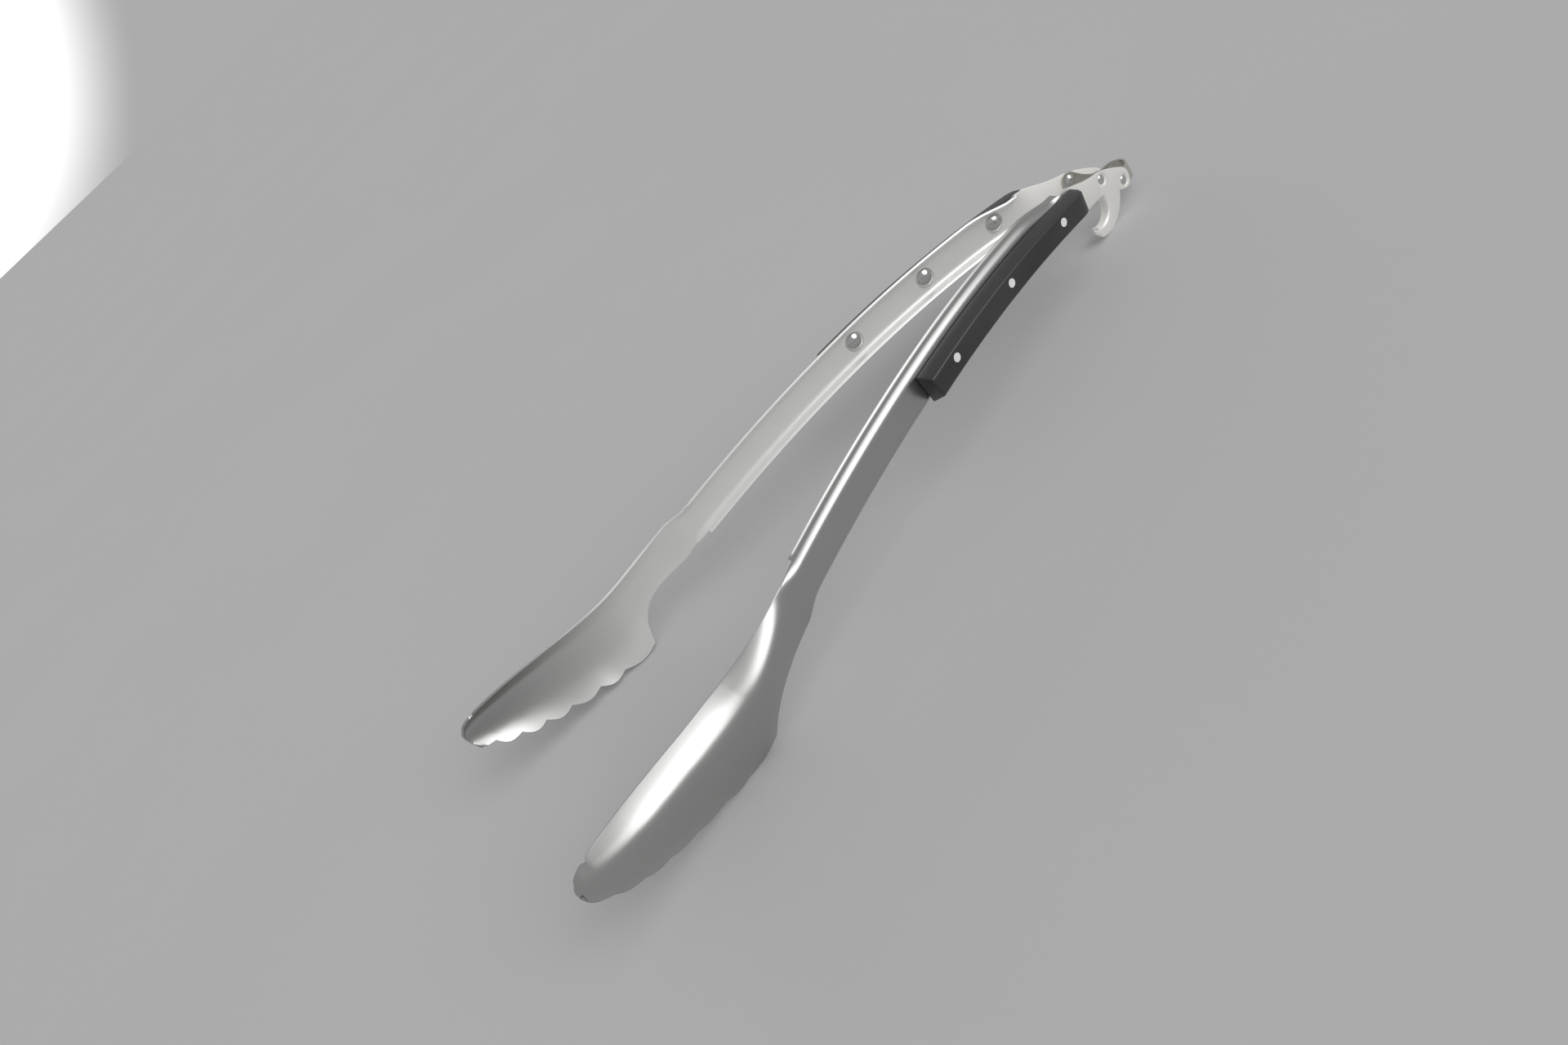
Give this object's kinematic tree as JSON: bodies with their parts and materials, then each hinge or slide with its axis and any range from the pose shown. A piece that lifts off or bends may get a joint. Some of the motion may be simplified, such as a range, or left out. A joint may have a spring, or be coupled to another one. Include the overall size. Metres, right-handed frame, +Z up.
{
  "type": "spring loaded kitchen tongs",
  "caption": "Spring loaded kitchen tongs: channel arms with riveted grips, scalloped spoon heads, a U shaped leaf spring and a hanging hook.",
  "frame": {"origin": "at table height, under the middle of the overall length, in the middle plane between the arms", "axes": "+X from the tail towards the heads, +Y towards the arm with the hanging hook, +Z up from the table the tongs rest on"},
  "size_m": [0.4092, 0.1518, 0.0519],
  "materials": {
    "arm_steel": "satin stamped stainless sheet",
    "grip_plastic": "satin black moulded scale",
    "spring_steel": "pale matte spring strip",
    "rivet_steel": "bright formed rivet"
  },
  "bodies": {
    "plain_side": {"plain_arm": "arm_steel", "plain_arm_grip": "grip_plastic", "leaf_spring": "spring_steel", "plain_arm_rear_rivet": "rivet_steel", "plain_arm_middle_rivet": "rivet_steel", "plain_arm_front_rivet": "rivet_steel", "plain_arm_spring_end_rivet": "rivet_steel", "plain_arm_spring_rivet": "rivet_steel"},
    "hook_side": {"hook_arm": "arm_steel", "hook_arm_grip": "grip_plastic", "hook_arm_rear_rivet": "rivet_steel", "hook_arm_middle_rivet": "rivet_steel", "hook_arm_front_rivet": "rivet_steel", "hook_arm_spring_end_rivet": "rivet_steel", "hook_arm_spring_rivet": "rivet_steel"}
  },
  "joints": [
    {"name": "squeeze", "type": "hinge", "parent": "plain_side", "child": "hook_side", "pos_m": [-0.19726, 0, 0.01], "axis": [0, 0, 1], "range_deg": [-19.9, 0], "stiffness_Nm_per_rad": 3, "deforming": ["leaf_spring"]}
  ]
}
